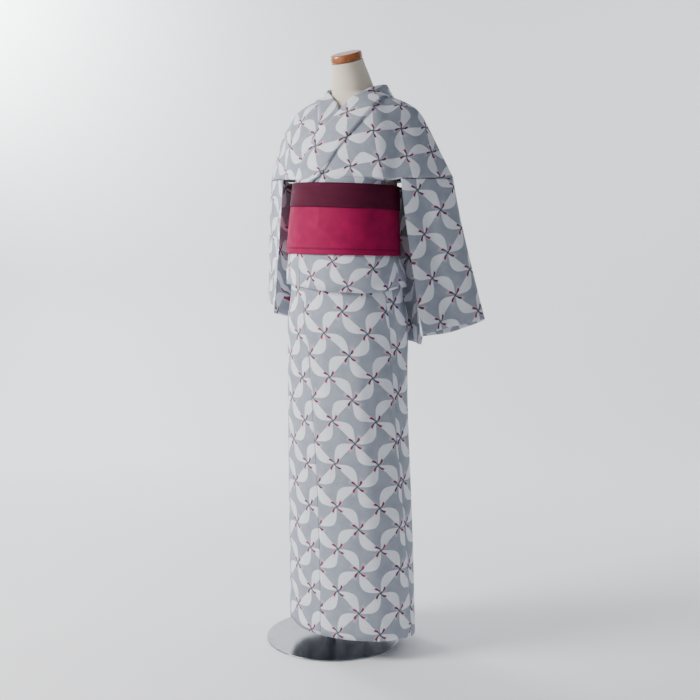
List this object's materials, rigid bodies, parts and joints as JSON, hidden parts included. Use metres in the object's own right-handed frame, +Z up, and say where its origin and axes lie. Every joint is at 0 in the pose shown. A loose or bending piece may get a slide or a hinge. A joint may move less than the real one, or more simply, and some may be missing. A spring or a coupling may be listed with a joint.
{
  "type": "cotton yukata with obi on a limbless dress form",
  "caption": "Printed cotton yukata worn closed left over right, with fold-over at the waist and a wide two-coloured belt, on a padded dress form with pole and round steel foot.",
  "frame": {"origin": "centre of the round foot's underside, on the floor", "axes": "+Z up; the garment faces -Y; the wearer's left is +X, and the garment's own axis stands 57 mm to that side of the foot's centre"},
  "size_m": [0.6379, 0.346, 1.4902],
  "materials": {
    "printed_cotton": "plain-woven cotton, blue-grey with an off-white leaf pinwheel print",
    "belt_crimson": "woven belt cloth, soft sheen",
    "belt_maroon": "reverse of the belt cloth, dark, soft sheen",
    "form_cover": "cream cotton jersey, matt",
    "cap_wood": "orange-brown lacquer",
    "pole_chrome": "polished",
    "foot_steel": "smooth grey plate, mirror-like"
  },
  "bodies": {
    "root": {"body_left_over": "printed_cotton", "body_right_under": "printed_cotton", "collar_band": "printed_cotton", "skirt_back_left": "printed_cotton", "skirt_back_right": "printed_cotton", "skirt_front_left": "printed_cotton", "skirt_front_right": "printed_cotton", "skirt_overlap_left": "printed_cotton", "skirt_overlap_right": "printed_cotton", "sleeve_left": "printed_cotton", "sleeve_right": "printed_cotton", "waist_overlap_left": "printed_cotton", "waist_overlap_right": "printed_cotton", "obi_wrap": "belt_crimson", "obi_knot": "belt_crimson", "bow_wing_left": "belt_crimson", "bow_wing_right": "belt_crimson", "obi_turned_edge": "belt_maroon", "torso_form": "form_cover", "neck_cap": "cap_wood", "pole": "pole_chrome", "pole_socket": "pole_chrome", "foot_disc": "foot_steel"}
  },
  "joints": []
}
